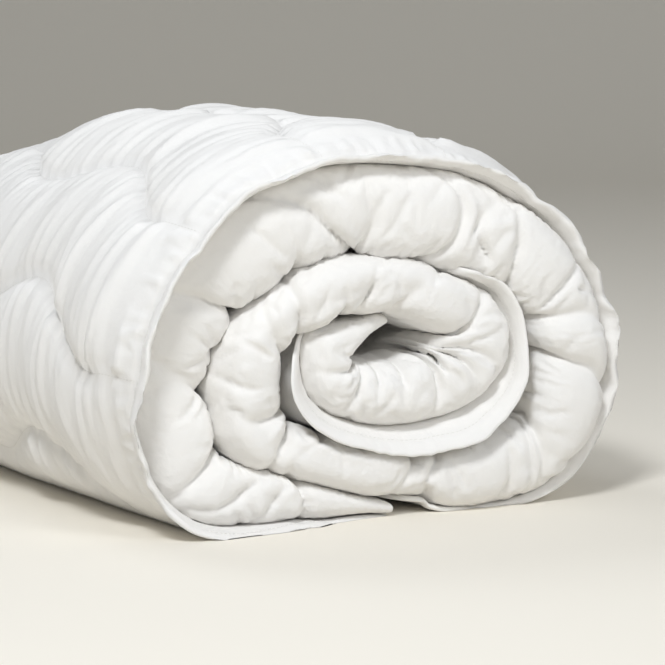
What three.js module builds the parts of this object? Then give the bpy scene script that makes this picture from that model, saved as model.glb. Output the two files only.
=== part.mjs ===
// A wool duvet in a cotton cover, folded in thirds and rolled up: one wound, quilted solid.
import * as THREE from "three";

// Sizes in millimetres. The roll's axis runs along Y, and its open end, which shows the winding, faces -Y.
const STRIP_WIDTH = 640; // a 2 m duvet folded in thirds lengthwise
const END_SLANT = -0.2; // the wraps telescope forward on the right of the open end
const WRAP_GAP = 3; // between one wrap and the next
const LAYER_GAP = 2; // between the three layers of one wrap
const GAP_SHARE = 0.1; // of a thin wrap's thickness
const HEM_THICKNESS = 5; // the self-piped edge of the cover
const HEM_ROUND = 5; // depth of its rounded edge
const HEM_SHARE = 0.35; // of a thin wrap's thickness, for its hem and the gap under it
const HEM_FOLLOWS = 0.8; // how much the hem follows the seams' wave
const NOSE_DEPTH = 30; // how deep the rounded nose of a fold is
const FAR_FOLD_SHARE = 0.64; // of a wrap's thickness, in the fold at the far end
const LAYERS_PARALLEL = 140; // from here inwards the three layers are equally thick
const SHOULDER = 45; // the outer layer thins towards its hem over this depth
const SEAM_SPACING = 97.5; // between the wavy quilting seams, along the winding: 130 on the outside
const SEAM_START = 15.5; // of the first seam, along the winding
const WAVE_LENGTH = 235;
const WAVE_HEIGHT = 19; // of a seam's wave to each side, along the winding
const WAVE_CREST = 55; // how deep the wave's first crest lies
const STRAIGHT_UNTIL = 45; // how deep a seam runs straight from the hem
const SEAM_DRIFT = -0.1; // how far a seam runs back round the roll for its depth
const WAVE_FADE = 120; // depth over which the wave dies down at the far fold
const ROWS_PER_SEAM = 5;
const HIDDEN_ROW = 18; // spacing of the sections where the next wrap covers them
const CORE_ROW = 9; // the same in the core
const CORE_LENGTH = 140; // of the tight first turn
const CROWN = 8; // of the quilting between two seams
const VALLEY = 3; // how deep a seam draws the cover in
const SEAM_TUCK = 8; // how far a seam draws a fold's nose back
const SEAM_PINCH = 0.1; // how much thinner the fold is there
const TUCK_WIDTH = 26; // to each side of the seam
const COVERED_UNTIL = 700; // length of winding that the last wrap covers
const SAMPLE_STEP = 4; // along the winding, for measuring it
const EVEN_SAMPLES = 5; // to each side, over which a wrap's thickness is evened out
const END_CLEARANCE = 32; // past the loose end, before the wrap beside it takes its full thickness
const NEXT_WRAP = 200; // the wrap over a place is at least this much further along the winding
const SETTLE = 3; // the roll's weight presses its underside this much flat

// The winding at the open end, from the core outwards, one row for each bend. x and z are the middle of the
// fold that shows there and half is half its thickness. nose is how far the fold stands back from the end,
// flare and hem are how far the outer layer's hem leans out and stands back, and cover is what that layer
// adds to the fold further in.
const WINDING = tableOf(["x", "z", "half", "nose", "flare", "hem", "cover"], [
  [24, 169, 4, 25, 2, 24, 30],
  [-7, 162, 10, 12, 2, 14, 30],
  [-31, 146, 18, 5, 4, 2, 30],
  [-26, 119, 20, 0, 10, -6, 30],
  [14, 108, 23, 0, 12, -10, 30],
  [60, 113, 26, 0, 14, -12, 30],
  [94, 127, 25, 0, 12, -10, 30],
  [106, 148, 23, 2, 8, -4, 30],
  [97, 170, 22, 2, 5, 2, 30],
  [66, 184, 23, 0, 5, 4, 30],
  [22, 199, 20, 0, 5, 8, 30],
  [-19, 199, 25, 0, 4, 10, 30],
  [-54, 189, 23, 0, 4, 16, 30],
  [-84, 173, 20, 2, 4, 20, 30],
  [-103, 151, 22, 4, 4, 20, 30],
  [-109, 120, 23, 4, 4, 20, 30],
  [-98, 90, 22, 4, 4, 20, 30],
  [-68, 66, 20, 2, 4, 20, 30],
  [-8, 45, 21, 0, 4, 20, 30],
  [50, 34, 22, 0, 1, 12, 10],
  [98, 33, 25, -2, 1, 8, 10],
  [133, 40, 29, -4, 4, 8, 11],
  [160, 56, 31, -6, 8, 8, 14],
  [179, 84, 31, -8, 8, 8, 20],
  [187, 115, 31, -8, 8, 8, 22],
  [186, 146, 31, -8, 8, 8, 22],
  [176, 177, 30, -6, 8, 6, 24],
  [154, 207, 32, -4, 8, 4, 26],
  [118, 234, 35, -2, 8, 0, 28],
  [75, 252, 37, 0, 8, -4, 30],
  [22, 261, 37, 4, 9, -6, 32],
  [-30, 262, 37, 8, 9, -8, 32],
  [-72, 249, 37, 10, 9, -10, 30],
  [-112, 223, 36, 14, 5, -10, 28],
  [-141, 194, 35, 18, 1, -10, 26],
  [-160, 162, 35, 22, 2, -10, 24],
  [-168, 127, 36, 24, 8, -12, 20],
  [-163, 91, 35, 22, 13, -14, 16],
  [-151, 55, 31, 16, 17, -16, 12],
  [-127, 34, 26, 10, 4, -18, 11],
  [-73, 25, 17, 4, 0, -10, 10],
  [-28, 17, 11, 6, 0, 6, 6],
  [20, 9, 5, 10, 0, 14, 4],
]);

// How the roll narrows and sinks towards its far end. y is the depth, and width, height and shift act on the
// whole section.
const TAPER = tableOf(["y", "width", "height", "shift"], [
  [0, 1, 1, 0],
  [35, 1, 1, 0],
  [140, 0.985, 0.985, 1],
  [300, 0.955, 1, 4],
  [460, 0.885, 0.885, 12],
  [605, 0.87, 0.76, 10],
  [640, 0.86, 0.735, 10],
]);
const DEPTHS = TAPER.slice(1, -1).map((row) => row.y);
const COLUMN_SPACING = 29; // across the outer face, where it shows

function tableOf(columns, rows) {
  return rows.map((row) => Object.fromEntries(columns.map((name, i) => [name, row[i]])));
}

function mix(a, b, share) {
  return a + (b - a) * share;
}

function share(from, to, value) {
  return THREE.MathUtils.clamp((value - from) / (to - from), 0, 1);
}

function smooth(from, to, value) {
  return THREE.MathUtils.smoothstep(value, from, to);
}

// The winding, measured. Each sample holds its place along the winding, the fold's inner side, the way
// out, and the table's other columns.
function measureWinding() {
  const along = (columns) =>
    new THREE.CatmullRomCurve3(
      WINDING.map((row) => new THREE.Vector3(...columns.map((name) => row[name]))),
      false,
      "catmullrom",
    );
  const middle = along(["x", "half", "z"]);
  const edges = along(["nose", "flare", "hem"]);
  const covers = along(["cover", "cover", "cover"]);
  const path = new THREE.CatmullRomCurve3(
    WINDING.map((row) => new THREE.Vector3(row.x, 0, row.z)),
    false,
    "catmullrom",
  );
  path.arcLengthDivisions = WINDING.length * 60;
  const length = path.getLength();
  const count = Math.round(length / SAMPLE_STEP);
  const samples = [];
  for (let i = 0; i <= count; i++) {
    const t = path.getUtoTmapping(i / count);
    const { x, y: half, z } = middle.getPoint(t);
    const way = path.getTangent(t);
    const out = new THREE.Vector2(way.z, -way.x).normalize();
    const [nose, flare, hem] = edges.getPoint(t).toArray();
    samples.push({
      u: (length * i) / count,
      inner: new THREE.Vector2(x - half * out.x, z - half * out.y),
      out,
      nose,
      flare,
      hem,
      fold: 2 * half,
      thick: 2 * half + covers.getPoint(t).x,
    });
  }
  return { length, samples };
}

// How far it is from a sample, outwards, to the inner side of the wrap that lies over it.
function roomOver(sample, samples) {
  let room = Infinity;
  for (let i = 1; i < samples.length; i++) {
    if (samples[i - 1].u < sample.u + NEXT_WRAP) continue;
    const from = samples[i - 1].inner;
    const side = samples[i].inner.clone().sub(from);
    const to = from.clone().sub(sample.inner);
    const turn = sample.out.cross(side);
    const distance = to.cross(side) / turn;
    const place = to.cross(sample.out) / turn;
    if (place >= 0 && place <= 1 && distance > 0) room = Math.min(room, distance);
  }
  return room;
}

// Each wrap is as thick as the wrap over it allows, and its fold leaves room for the hem. The loose end is
// taken a little longer here, so that the wrap beside it clears its edge.
function fitThickness(samples) {
  const last = samples.at(-1);
  const onwards = new THREE.Vector2(-last.out.y, last.out.x).multiplyScalar(END_CLEARANCE);
  const over = [...samples, { u: last.u + END_CLEARANCE, inner: last.inner.clone().add(onwards) }];
  const fitted = samples.map((sample) => Math.min(sample.thick, roomOver(sample, over) - WRAP_GAP));
  samples.forEach((sample, i) => {
    const near = fitted.slice(Math.max(0, i - EVEN_SAMPLES), i + EVEN_SAMPLES + 1);
    const average = near.reduce((sum, value) => sum + value, 0) / near.length;
    sample.thick = Math.min(fitted[i], average);
    const hemRoom = Math.min(LAYER_GAP + HEM_THICKNESS, HEM_SHARE * sample.thick);
    sample.gap = Math.min(LAYER_GAP, GAP_SHARE * sample.thick);
    sample.fold = Math.min(sample.fold, sample.thick - hemRoom);
  });
}

const winding = measureWinding();
fitThickness(winding.samples);

function windingAt(u) {
  const place = THREE.MathUtils.clamp(u / winding.length, 0, 1) * (winding.samples.length - 1);
  const first = Math.min(Math.floor(place), winding.samples.length - 2);
  const [a, b] = [winding.samples[first], winding.samples[first + 1]];
  const part = place - first;
  const at = {
    inner: a.inner.clone().lerp(b.inner, part),
    out: a.out.clone().lerp(b.out, part).normalize(),
  };
  for (const name of ["nose", "flare", "hem", "fold", "gap", "thick"]) at[name] = mix(a[name], b[name], part);
  return at;
}

function taperAt(y) {
  const next = Math.max(1, TAPER.findIndex((row) => row.y >= Math.min(y, STRIP_WIDTH)));
  const [a, b] = [TAPER[next - 1], TAPER[next]];
  const part = share(a.y, b.y, y);
  return {
    width: mix(a.width, b.width, part),
    height: mix(a.height, b.height, part),
    shift: mix(a.shift, b.shift, part),
  };
}

// A point of the duvet: u along the winding, y in from the open end and h out from the wrap's inner side.
function placed(u, y, h) {
  const at = windingAt(u);
  const x = at.inner.x + h * at.out.x;
  const z = at.inner.y + h * at.out.y - SETTLE;
  const taper = taperAt(y);
  return new THREE.Vector3(
    x * taper.width + taper.shift,
    y + END_SLANT * x,
    Math.max(0, z * taper.height),
  );
}

// Quilting: 0 on a seam, 1 halfway to the next.
function betweenSeams(u) {
  return Math.abs(Math.sin((Math.PI * (u - SEAM_START)) / SEAM_SPACING));
}

// How much a seam draws the fold in: 1 on the seam.
function tuckAt(u) {
  const seam = (u - SEAM_START) / SEAM_SPACING;
  const offSeam = SEAM_SPACING * Math.abs(seam - Math.round(seam));
  return Math.exp(-((offSeam / TUCK_WIDTH) ** 2));
}

// How far the outer layer's crown stands out. It fades at the hems and where the roll rests.
function crown(u, y, at) {
  const ends = smooth(0, 60, y) * smooth(0, 60, STRIP_WIDTH - y);
  const loose = smooth(0, 60, winding.length - u) * smooth(COVERED_UNTIL, COVERED_UNTIL + 60, u);
  const low = smooth(8, 40, at.inner.y + at.thick * at.out.y);
  return ends * loose * low * ((CROWN + VALLEY) * betweenSeams(u) ** 0.7 - VALLEY);
}

// The underside and the top of the outer layer's edge, which leans out towards its hem.
function hemUnder(at, y) {
  return at.fold + at.gap + at.flare * (1 - share(at.hem, DEPTHS[0], y)) ** 2;
}

function hemOver(at, y) {
  const inside = at.thick - at.fold - at.gap;
  const full = Math.sqrt(share(at.hem, at.hem + SHOULDER, y));
  return hemUnder(at, y) + mix(Math.min(HEM_THICKNESS, inside), inside, full);
}

// The middles of the two gaps between the three layers. Each opens at one end and ends in a fold at the other.
function outerGap(at, y) {
  const inside = smooth(NOSE_DEPTH, LAYERS_PARALLEL, y);
  const far = smooth(STRIP_WIDTH - LAYERS_PARALLEL, STRIP_WIDTH - NOSE_DEPTH, y);
  const near = at.fold + at.gap / 2;
  return mix(mix(near, (at.thick * 2) / 3, inside), at.thick * (1 - FAR_FOLD_SHARE / 2), far);
}

function innerGap(at, y) {
  const inside = smooth(NOSE_DEPTH, LAYERS_PARALLEL, y);
  const far = smooth(STRIP_WIDTH - LAYERS_PARALLEL, STRIP_WIDTH - NOSE_DEPTH, y);
  return mix(mix(at.fold / 2, at.thick / 3, inside), at.thick * (1 - FAR_FOLD_SHARE) - at.gap / 2, far);
}

// The section of the folded strip at one place of the winding: one loop that runs back and forth through
// the three layers. The outer face follows the wave of the seams where it shows.
function sectionAt(u, dense) {
  const loop = [];
  let mark = 0;
  const add = (y, height, { follows = 0, tie = null, step = 1 } = {}) => {
    const place = waved(u, y, follows);
    loop.push({ u: place, y, h: height(windingAt(place), y), tie, mark });
    mark += step;
  };
  const face = (depths, height, layer) => depths.forEach((y) => add(y, height, { tie: layer + y }));
  const above = (gap) => (at, y) => gap(at, y) + at.gap / 2;
  const below = (gap) => (at, y) => gap(at, y) - at.gap / 2;
  const inwards = DEPTHS;
  const outwards = [...DEPTHS].reverse();
  const { hem, nose } = windingAt(u);
  const tuck = tuckAt(u);
  const follows = dense ? HEM_FOLLOWS : 0;
  const shoulder = mix(hem, inwards[0], 0.5);

  // The outer layer's outer face, from the far fold to the hem.
  outwards.forEach((depth, i) => {
    const next = outwards[i + 1] ?? depth;
    const columns = dense ? Math.max(1, Math.round((depth - next) / COLUMN_SPACING)) : 1;
    for (let j = 0; j < columns; j++) {
      const y = mix(depth, next, j / columns);
      const wave = smooth(0, WAVE_FADE, STRIP_WIDTH - y) * mix(HEM_FOLLOWS, 1, smooth(DEPTHS[0], 90, y));
      const height = (at) => hemOver(at, y) + crown(u, y, at);
      add(y, height, { follows: dense ? wave : 0, tie: j ? null : "outer" + depth, step: 1 / columns });
    }
  });
  add(shoulder, hemOver, { follows });
  add(hem + HEM_ROUND, hemOver, { follows });
  add(hem, (at) => (hemOver(at, hem) + hemUnder(at, hem)) / 2, { follows });

  // Back along its inner face to the far fold, and forward along the middle layer.
  add(hem + HEM_ROUND, hemUnder, { follows });
  add(shoulder, hemUnder, { follows: follows / 2 });
  face(inwards, above(outerGap), "outer");
  add(STRIP_WIDTH - NOSE_DEPTH + 4, outerGap);
  face(outwards, below(outerGap), "middle");

  // The nose of the fold that shows at the open end.
  for (const degrees of [68, 42, 14, -14, -42, -68]) {
    const angle = THREE.MathUtils.degToRad(degrees);
    const y = nose + SEAM_TUCK * tuck + NOSE_DEPTH * (1 - Math.cos(angle));
    add(y, (at) => (at.fold * (1 + (1 - SEAM_PINCH * tuck) * Math.sin(angle))) / 2);
  }

  // The wrap's inner face and the hem at its far end.
  face(inwards, () => 0, "inner");
  const farHem = (at) => Math.min(HEM_THICKNESS, below(innerGap)(at, STRIP_WIDTH));
  add(STRIP_WIDTH - 16, (at) => 0.1 * farHem(at));
  add(STRIP_WIDTH - 12, (at) => 0.5 * farHem(at));
  add(STRIP_WIDTH - 16, (at) => 0.9 * farHem(at));
  face(outwards.slice(0, -1), below(innerGap), "inner");

  // The gap between the inner and middle layers ends in the open end's fold.
  add(nose + 64, below(innerGap));
  add(nose + 52, innerGap);
  add(nose + 64, above(innerGap));
  face(inwards.slice(1), above(innerGap), "middle");

  // The nose of the fold at the far end.
  for (const degrees of [-68, -35, 0, 35, 68]) {
    const angle = THREE.MathUtils.degToRad(degrees);
    const y = STRIP_WIDTH - NOSE_DEPTH * (1 - Math.cos(angle));
    add(y, (at) => at.thick - (at.thick * FAR_FOLD_SHARE * (1 - Math.sin(angle))) / 2);
  }
  return loop;
}

// Where the sections lie. They are closer together in the tight core, and lie on the seams where they show.
function sectionPlaces() {
  const places = [];
  const spread = (from, to, spacing, dense) => {
    const count = Math.round((to - from) / spacing);
    for (let i = 0; i < count; i++) places.push({ u: mix(from, to, i / count), dense });
  };
  const covered = Math.floor(COVERED_UNTIL / SEAM_SPACING) * SEAM_SPACING + SEAM_START;
  const step = SEAM_SPACING / ROWS_PER_SEAM;
  spread(0, CORE_LENGTH, CORE_ROW, false);
  spread(CORE_LENGTH, covered, HIDDEN_ROW, false);
  const last = covered + Math.floor((winding.length - covered) / step) * step;
  spread(covered, last, step, true);
  places.push({ u: last, dense: true }, { u: winding.length, dense: true });
  return places;
}

// The seams' wave moves a point along the winding. It fades towards the loose end and under the last wrap.
function waved(u, y, follows) {
  const fade = smooth(0, 120, winding.length - u) * smooth(COVERED_UNTIL, COVERED_UNTIL + 200, u);
  const depth = Math.max(y, STRAIGHT_UNTIL);
  const wave = WAVE_HEIGHT * Math.cos((2 * Math.PI * (depth - WAVE_CREST)) / WAVE_LENGTH);
  return u + follows * fade * (wave + SEAM_DRIFT * (depth - STRAIGHT_UNTIL));
}

// Joins two loops point by point. Their marks match where both have a point, and run in fractions between.
function joinLoops(a, b, faces) {
  const markOf = (loop, i) => (i < loop.length ? loop[i].mark : loop.at(-1).mark + 1);
  let i = 0;
  let j = 0;
  while (i < a.length || j < b.length) {
    const stepA = j >= b.length || (i < a.length && markOf(a, i + 1) <= markOf(b, j + 1));
    const from = [a[i % a.length], b[j % b.length]];
    if (stepA) i++;
    else j++;
    faces.push(from[0].index, from[1].index, stepA ? a[i % a.length].index : b[j % b.length].index);
  }
}

// Cuts a loop wherever two of its points are tied across a layer, so that an end cap follows the taper.
function cutAcross(loop) {
  for (let i = 0; i < loop.length; i++) {
    const j = loop.findIndex((point, k) => k > i + 1 && point.tie && point.tie === loop[i].tie);
    if (j < 0 || (i === 0 && j === loop.length - 1)) continue;
    return [...cutAcross(loop.slice(i, j + 1)), ...cutAcross([...loop.slice(0, i + 1), ...loop.slice(j)])];
  }
  return [loop];
}

function capLoop(loop, start, faces) {
  for (const piece of cutAcross(loop)) {
    const outline = piece.map((point) => new THREE.Vector2(point.y, point.h));
    for (const triangle of THREE.ShapeUtils.triangulateShape(outline, [])) {
      const corners = triangle.map((corner) => piece[corner].index);
      faces.push(...(start ? corners : corners.reverse()));
    }
  }
}

function duvetGeometry() {
  const positions = [];
  const faces = [];
  const loops = sectionPlaces().map(({ u, dense }) => sectionAt(u, dense));
  for (const point of loops.flat()) {
    point.index = positions.length / 3;
    positions.push(...placed(point.u, point.y, point.h));
  }
  for (let i = 1; i < loops.length; i++) joinLoops(loops[i - 1], loops[i], faces);
  capLoop(loops[0], true, faces);
  capLoop(loops.at(-1), false, faces);
  const geometry = new THREE.BufferGeometry();
  geometry.setAttribute("position", new THREE.Float32BufferAttribute(positions, 3));
  geometry.setIndex(faces);
  geometry.computeBoundingBox();
  const middle = geometry.boundingBox.getCenter(new THREE.Vector3());
  geometry.translate(-middle.x, -middle.y, -geometry.boundingBox.min.z);
  geometry.computeVertexNormals();
  return geometry;
}

const cotton = new THREE.MeshStandardMaterial({ color: 0xf1efec, roughness: 0.85, metalness: 0 });
const duvet = new THREE.Mesh(duvetGeometry(), cotton);
duvet.name = "duvet";

const group = new THREE.Group();
group.add(duvet);
export default group;
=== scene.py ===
import math

import bpy
import numpy as np
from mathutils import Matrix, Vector


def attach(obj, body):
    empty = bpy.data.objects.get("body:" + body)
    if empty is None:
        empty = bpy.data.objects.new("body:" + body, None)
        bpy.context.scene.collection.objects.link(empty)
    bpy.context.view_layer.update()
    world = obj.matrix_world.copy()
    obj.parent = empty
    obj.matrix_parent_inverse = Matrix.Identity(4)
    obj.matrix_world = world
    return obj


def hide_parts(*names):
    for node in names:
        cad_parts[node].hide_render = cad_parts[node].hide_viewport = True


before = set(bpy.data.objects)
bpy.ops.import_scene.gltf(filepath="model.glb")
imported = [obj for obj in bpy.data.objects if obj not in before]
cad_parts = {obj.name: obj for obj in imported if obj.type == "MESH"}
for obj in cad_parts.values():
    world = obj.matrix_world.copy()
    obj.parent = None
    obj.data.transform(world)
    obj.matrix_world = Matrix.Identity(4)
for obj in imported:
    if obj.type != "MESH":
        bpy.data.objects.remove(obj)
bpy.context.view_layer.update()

# The view: a camera a little to the left of the roll's open end, which looks slightly down on it through a
# long lens. Places on the roll are in millimetres from the winding's own origin until a mesh is made, and
# ROLL_MIDDLE is where the middle of the whole roll's footprint lies from there.
MM = 0.001
ROLL_MIDDLE = np.array([9.32, 317.24, 0])
CAMERA_TURN = math.radians(36)
CAMERA_TILT = math.radians(8)
CAMERA_AT = np.array([-1426.8, -1899.3, 493.3])
LENS = 155.9
SENSOR = 36
FARTHEST_SEEN = 30

camera = bpy.data.cameras.new("camera")
camera.lens = LENS
camera.sensor_width = SENSOR
camera.clip_end = FARTHEST_SEEN
camera_object = bpy.data.objects.new("camera", camera)
looks = Vector((
    math.sin(CAMERA_TURN) * math.cos(CAMERA_TILT),
    math.cos(CAMERA_TURN) * math.cos(CAMERA_TILT),
    -math.sin(CAMERA_TILT),
))
camera_object.location = Vector((CAMERA_AT - ROLL_MIDDLE) * MM)
camera_object.rotation_mode = "QUATERNION"
camera_object.rotation_quaternion = looks.to_track_quat("-Z", "Y")
bpy.context.scene.collection.objects.link(camera_object)
bpy.context.scene.camera = camera_object

# The duvet: two panels of white cotton percale with wool between them, sewn together along a thin hem,
# quilted through in parallel wavy lines, folded in thirds and rolled up two and a half times. The strip's
# section runs back and forth through its three layers, and follows the winding, each wrap under the next.
STRIP_WIDTH = 640
END_SLANT = -0.2
WRAP_GAP = 3
SUNK = 3
LAYER_GAP = 2
GAP_SHARE = 0.1
HEM_THICKNESS = 5
HEM_SHARE = 0.35
NOSE_DEPTH = 30
FAR_FOLD_SHARE = 0.64
LAYERS_PARALLEL = 140
SHOULDER = 45
DEPTHS = [35, 140, 300, 460, 605]
SAMPLE_STEP = 4
SAMPLES_PER_BEND = 60
EVEN_SAMPLES = 5
END_CLEARANCE = 32
NEXT_WRAP = 200

# The winding, from the core outwards: where the middle of the two folded layers lies, half their thickness,
# how far back the nose of their fold lies, how far the hem stands off, how far back the hem lies, and how
# thick the outer layer may be over them.
WINDING_COLUMNS = ["x", "z", "half", "nose", "flare", "hem", "cover"]
WINDING = np.array([
    [24, 169, 4, 25, 2, 24, 30],
    [-7, 162, 10, 12, 2, 14, 30],
    [-31, 146, 18, 5, 4, 2, 30],
    [-26, 119, 20, 0, 10, -6, 30],
    [14, 108, 23, 0, 12, -10, 30],
    [60, 113, 26, 0, 14, -12, 30],
    [94, 127, 25, 0, 12, -10, 30],
    [106, 148, 23, 2, 8, -4, 30],
    [97, 170, 22, 2, 5, 2, 30],
    [66, 184, 23, 0, 5, 4, 30],
    [22, 199, 20, 0, 5, 8, 30],
    [-19, 199, 25, 0, 4, 10, 30],
    [-54, 189, 23, 0, 4, 16, 30],
    [-84, 173, 20, 2, 4, 20, 30],
    [-103, 151, 22, 4, 4, 20, 30],
    [-109, 120, 23, 4, 4, 20, 30],
    [-98, 90, 22, 4, 4, 20, 30],
    [-68, 66, 20, 2, 4, 20, 30],
    [-8, 45, 21, 0, 4, 20, 30],
    [50, 34, 22, 0, 1, 12, 10],
    [98, 33, 25, -2, 1, 8, 10],
    [133, 40, 29, -4, 4, 8, 11],
    [160, 56, 31, -6, 8, 8, 14],
    [179, 84, 31, -8, 8, 8, 20],
    [187, 115, 31, -8, 8, 8, 22],
    [186, 146, 31, -8, 8, 8, 22],
    [176, 177, 30, -6, 8, 6, 24],
    [154, 207, 32, -4, 8, 4, 26],
    [118, 234, 35, -2, 8, 0, 28],
    [75, 252, 37, 0, 8, -4, 30],
    [22, 261, 37, 4, 9, -6, 32],
    [-30, 262, 37, 8, 9, -8, 32],
    [-72, 249, 37, 10, 9, -10, 30],
    [-112, 223, 36, 14, 5, -10, 28],
    [-141, 194, 35, 18, 1, -10, 26],
    [-160, 162, 35, 22, 2, -10, 24],
    [-168, 127, 36, 24, 8, -12, 20],
    [-163, 91, 35, 22, 13, -14, 16],
    [-151, 55, 31, 16, 17, -16, 12],
    [-127, 34, 26, 10, 4, -18, 11],
    [-73, 25, 17, 4, 0, -10, 10],
    [-28, 17, 11, 6, 0, 6, 6],
    [20, 9, 5, 10, 0, 14, 4],
])

# The roll gets smaller towards its far end, and lies a little to one side there.
TAPER_COLUMNS = ["depth", "width", "height", "shift"]
TAPER = np.array([
    [0, 1, 1, 0],
    [35, 1, 1, 0],
    [140, 0.985, 0.985, 1],
    [300, 0.955, 1, 4],
    [460, 0.885, 0.885, 12],
    [605, 0.87, 0.76, 10],
    [640, 0.86, 0.735, 10],
])


def mix(a, b, part):
    return a + (b - a) * part


def share(start, end, value):
    """How far a value has come from start to end, as a part from 0 to 1."""
    return np.clip((value - start) / (end - start), 0, 1)


def smooth(start, end, value):
    part = share(start, end, value)
    return part * part * (3 - 2 * part)


def bends_at(t):
    """The winding table's columns on a smooth curve through its rows, and the way the curve goes."""
    rows = np.vstack([2 * WINDING[0] - WINDING[1], WINDING, 2 * WINDING[-1] - WINDING[-2]])
    first = np.clip(np.floor(t).astype(int), 0, len(WINDING) - 2)
    p = (t - first)[:, None]
    a, b, c, d = (rows[first + k] for k in range(4))
    value = 0.5 * (2 * b + (c - a) * p + (2 * a - 5 * b + 4 * c - d) * p**2 + (3 * b - a - 3 * c + d) * p**3)
    slope = 0.5 * ((c - a) + 2 * (2 * a - 5 * b + 4 * c - d) * p + 3 * (3 * b - a - 3 * c + d) * p**2)
    return value, slope[:, :2]


def room_over(inner, out, u, over, over_u):
    """How far it is from each place outwards to the inner side of the wrap that lies over it."""
    start = over[:-1][None]
    side = (over[1:] - over[:-1])[None]
    to = start - inner[:, None]
    turn = out[:, None, 0] * side[..., 1] - out[:, None, 1] * side[..., 0]
    with np.errstate(divide="ignore", invalid="ignore"):
        distance = (to[..., 0] * side[..., 1] - to[..., 1] * side[..., 0]) / turn
        place = (to[..., 0] * out[:, None, 1] - to[..., 1] * out[:, None, 0]) / turn
    hit = (place >= 0) & (place <= 1) & (distance > 0) & (over_u[:-1][None] >= u[:, None] + NEXT_WRAP)
    return np.where(hit, distance, np.inf).min(1)


def measure_winding():
    """The winding at even steps of its length: where each wrap's inner side lies, and its thicknesses."""
    t = np.linspace(0, len(WINDING) - 1, SAMPLES_PER_BEND * len(WINDING))
    path = bends_at(t)[0][:, :2]
    lengths = np.concatenate([[0], np.cumsum(np.hypot(*np.diff(path, axis=0).T))])
    u = np.linspace(0, lengths[-1], round(lengths[-1] / SAMPLE_STEP) + 1)
    value, way = bends_at(np.interp(u, lengths, t))
    out = np.stack([way[:, 1], -way[:, 0]], 1) / np.hypot(*way.T)[:, None]
    named = dict(zip(WINDING_COLUMNS, value.T))
    inner = value[:, :2] - named["half"][:, None] * out
    onwards = inner[-1] + END_CLEARANCE * np.array([-out[-1, 1], out[-1, 0]])
    over = np.vstack([inner, onwards])
    over_u = np.append(u, u[-1] + END_CLEARANCE)
    room = room_over(inner, out, u, over, over_u) - WRAP_GAP
    fitted = np.minimum(2 * named["half"] + named["cover"], room)
    near = [fitted[max(0, i - EVEN_SAMPLES):i + EVEN_SAMPLES + 1].mean() for i in range(len(u))]
    thick = np.minimum(fitted, near)
    hem_room = np.minimum(LAYER_GAP + HEM_THICKNESS, HEM_SHARE * thick)
    return {
        "u": u,
        "x": inner[:, 0],
        "z": inner[:, 1],
        "out_x": out[:, 0],
        "out_z": out[:, 1],
        "nose": named["nose"],
        "flare": named["flare"],
        "hem": named["hem"],
        "thick": thick,
        "gap": np.minimum(LAYER_GAP, GAP_SHARE * thick),
        "fold": np.minimum(2 * named["half"], thick - hem_room),
    }


winding = measure_winding()
taper = dict(zip(TAPER_COLUMNS, TAPER.T))
LENGTH = winding["u"][-1]


def winding_at(u):
    return {name: np.interp(u, winding["u"], values) for name, values in winding.items()}


def placed(u, y, h):
    """Points of the duvet: u along the winding, y in from the open end, h out from the wrap's inner side."""
    at = winding_at(u)
    length = np.hypot(at["out_x"], at["out_z"])
    x = at["x"] + h * at["out_x"] / length
    z = at["z"] + h * at["out_z"] / length - SUNK
    width, height, shift = (np.interp(y, taper["depth"], taper[name]) for name in TAPER_COLUMNS[1:])
    return np.stack([x * width + shift, y + END_SLANT * x, np.maximum(0, z * height)], -1)


# The hem: the edges of both panels, turned in and sewn through along one line, which leaves a thin padded
# band. It kinks every few centimetres and is nipped in between, less where it lies on the ground. Between
# two wraps it is pushed back, because their folds press on each other in front of it.
HEM_WIDTH = 13
HEM_ROOT = 22
HEM_PINCHED = 1.4
PINCHED_FROM = 0.3
BAND_ROUNDNESS = 0.4
KINKS = [
    {"spacing": 29, "shift": 9, "inward": 5.0, "outward": 4.6},
    {"spacing": 12, "shift": 4, "inward": 2.2, "outward": 2.6},
]
KINKS_FROM_GROUND = (40, 80)
HEM_SEED = 12
HEM_TUCKED = 40
TUCKED_ALONG = (285, 325, 660, 705)
CORE_TUCKED = 0.7
CORE_TUCKED_ALONG = (78, 48)
HEM_LEANS = 11
LEANS_ALONG = (48, 78, 190, 238)
HEM_STANDS = 8
STANDS_ALONG = (1230, 1290, 1350, 1400)


def stretch(height, start, full, fading, stop):
    """A height that is reached along one stretch of the winding and fades at both its ends."""
    return height * smooth(start, full, winding["u"]) * smooth(stop, fading, winding["u"])


kinks = np.random.default_rng(HEM_SEED)
kink_in = 0
kink_out = 0
for kind in KINKS:
    places = np.arange(0, LENGTH + kind["spacing"], kind["spacing"])
    places = places + kinks.uniform(-kind["shift"], kind["shift"], len(places))
    moved_in = kinks.uniform(-kind["inward"], kind["inward"], len(places))
    moved_out = kinks.uniform(-kind["outward"], kind["outward"], len(places))
    kink_in = kink_in + np.interp(winding["u"], places, moved_in)
    kink_out = kink_out + np.interp(winding["u"], places, moved_out)
off_ground = smooth(*KINKS_FROM_GROUND, winding["z"] + winding["thick"] * winding["out_z"])
winding["tucked"] = stretch(1, *TUCKED_ALONG) + CORE_TUCKED * smooth(*CORE_TUCKED_ALONG, winding["u"])
winding["hem"] += kink_in + HEM_TUCKED * winding["tucked"]
leaning = stretch(HEM_LEANS, *LEANS_ALONG)
standing = stretch(HEM_STANDS, *STANDS_ALONG)
winding["flare"] = np.maximum(0, winding["flare"] + leaning + standing + off_ground * kink_out)


def root_of(at):
    """How deep the hem's edge ends and the outer layer begins."""
    return np.maximum(DEPTHS[0], at["hem"] + HEM_ROOT)


def hem_under(at, y):
    return at["fold"] + at["gap"] + at["flare"] * (1 - share(at["hem"], root_of(at), y)) ** 2


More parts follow.
